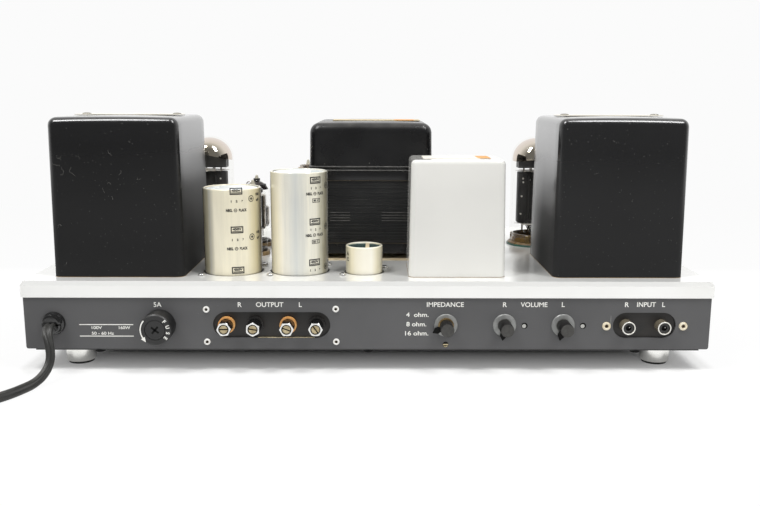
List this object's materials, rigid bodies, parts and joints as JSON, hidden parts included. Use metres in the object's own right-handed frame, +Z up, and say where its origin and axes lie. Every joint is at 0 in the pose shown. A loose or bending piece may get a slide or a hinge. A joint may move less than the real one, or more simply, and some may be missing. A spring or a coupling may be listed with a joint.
{
  "type": "tube stereo amplifier",
  "caption": "Stereo tube amplifier on a white chassis: covered transformers, capacitor cans and glass tubes on top, rear wall with terminals, selector, volume knobs, jacks and cord.",
  "frame": {"origin": "on the floor under the middle of the amplifier's bounding box, cord left out", "axes": "+Z up, +X to the right as seen from the rear, -Y towards the rear wall that the picture shows"},
  "size_m": [0.554, 0.3642, 0.1688],
  "materials": {
    "plate_white": "satin",
    "wall_grey": "fine texture",
    "bottom_dark": "matt",
    "foot_metal": "turned",
    "rubber_black": "matt",
    "steel": "bright",
    "brass": "satin",
    "cover_black": "gloss",
    "cover_grey": "satin",
    "core_iron": "lacquered",
    "stack_black": "satin",
    "can_metal": "brushed",
    "can_disc": "gloss",
    "glass_clear": "polished",
    "electrode_black": "carbonised",
    "socket_brown": "moulded",
    "board_black": "matt",
    "ring_orange": "moulded",
    "ring_black": "moulded",
    "fuse_black": "moulded",
    "knob_dark": "satin",
    "dial_metal": "dished",
    "control_metal": "plated",
    "lamp_red": "gloss",
    "board_green": "lacquered",
    "cord_black": "satin"
  },
  "bodies": {
    "chassis": {"top_plate": "plate_white", "rear_wall": "wall_grey", "front_wall": "wall_grey", "side_walls": "wall_grey", "bottom_plate": "bottom_dark", "feet": "foot_metal", "foot_pads": "rubber_black", "cord_bush": "rubber_black", "steel_screws": "steel", "mains_bolts": "steel", "input_jacks": "steel", "power_switch": "steel", "brass_screws": "brass", "output_studs": "brass", "plug_blades": "brass", "output_cover_left": "cover_black", "output_cover_right": "cover_black", "mains_clamps": "cover_black", "mains_cover": "cover_black", "choke_cover": "cover_grey", "output_cores": "core_iron", "choke_core": "core_iron", "mains_stack": "stack_black", "can_wide": "can_metal", "can_tall": "can_metal", "can_small": "can_metal", "can_discs": "can_disc", "power_tubes_left": "glass_clear", "power_tubes_right": "glass_clear", "small_tubes": "glass_clear", "tube_anodes": "electrode_black", "tube_sockets": "socket_brown", "output_board": "board_black", "input_board": "board_black", "jack_insulators": "board_black", "output_rings_red": "ring_orange", "output_rings_black": "ring_black", "fuse_holder": "fuse_black", "dial_rings": "dial_metal", "selector_switch": "control_metal", "volume_pots": "control_metal", "pilot_lamp": "lamp_red", "driver_board": "board_green", "mains_cord": "cord_black", "cord_coil": "cord_black", "mains_plug": "cord_black"},
    "selector": {"selector_shaft": "brass", "selector_knob": "knob_dark"},
    "volume_right": {"volume_shaft_right": "control_metal", "volume_knob_right": "knob_dark"},
    "volume_left": {"volume_shaft_left": "control_metal", "volume_knob_left": "knob_dark"},
    "nut_1": {"terminal_nut_1": "steel"},
    "nut_2": {"terminal_nut_2": "steel"},
    "nut_3": {"terminal_nut_3": "steel"},
    "nut_4": {"terminal_nut_4": "steel"},
    "carrier": {"fuse_carrier": "fuse_black", "fuse": "glass_clear"},
    "cap": {"fuse_cap": "fuse_black"},
    "lever": {"switch_lever": "steel"}
  },
  "joints": [
    {"name": "selector_turn", "type": "hinge", "parent": "chassis", "child": "selector", "pos_m": [0.0521, -0.11992, 0.0319], "axis": [0, 1, 0], "range_deg": [0, 54]},
    {"name": "volume_right_turn", "type": "hinge", "parent": "chassis", "child": "volume_right", "pos_m": [0.0913, -0.11992, 0.0319], "axis": [0, 1, 0], "range_deg": [0, 280]},
    {"name": "volume_left_turn", "type": "hinge", "parent": "chassis", "child": "volume_left", "pos_m": [0.1305, -0.11992, 0.0319], "axis": [0, 1, 0], "range_deg": [0, 280]},
    {"name": "terminal_nut_1_turn", "type": "hinge", "parent": "chassis", "child": "nut_1", "pos_m": [-0.09445, -0.11992, 0.0319], "axis": [0, -1, 0], "range_deg": [0, 720]},
    {"name": "terminal_nut_2_turn", "type": "hinge", "parent": "chassis", "child": "nut_2", "pos_m": [-0.07545, -0.11992, 0.0319], "axis": [0, -1, 0], "range_deg": [0, 720]},
    {"name": "terminal_nut_3_turn", "type": "hinge", "parent": "chassis", "child": "nut_3", "pos_m": [-0.05335, -0.11992, 0.0319], "axis": [0, -1, 0], "range_deg": [0, 720]},
    {"name": "terminal_nut_4_turn", "type": "hinge", "parent": "chassis", "child": "nut_4", "pos_m": [-0.03435, -0.11992, 0.0319], "axis": [0, -1, 0], "range_deg": [0, 720]},
    {"name": "fuse_draw", "type": "slide", "parent": "chassis", "child": "carrier", "axis": [0, -1, 0], "range_m": [0, 0.045]},
    {"name": "fuse_cap_turn", "type": "hinge", "parent": "carrier", "child": "cap", "pos_m": [-0.1389, -0.11992, 0.0319], "axis": [0, -1, 0], "range_deg": [0, 90]},
    {"name": "switch_throw", "type": "hinge", "parent": "chassis", "child": "lever", "pos_m": [-0.18, 0.11958, 0.0319], "axis": [1, 0, 0], "range_deg": [-24, 0]}
  ]
}
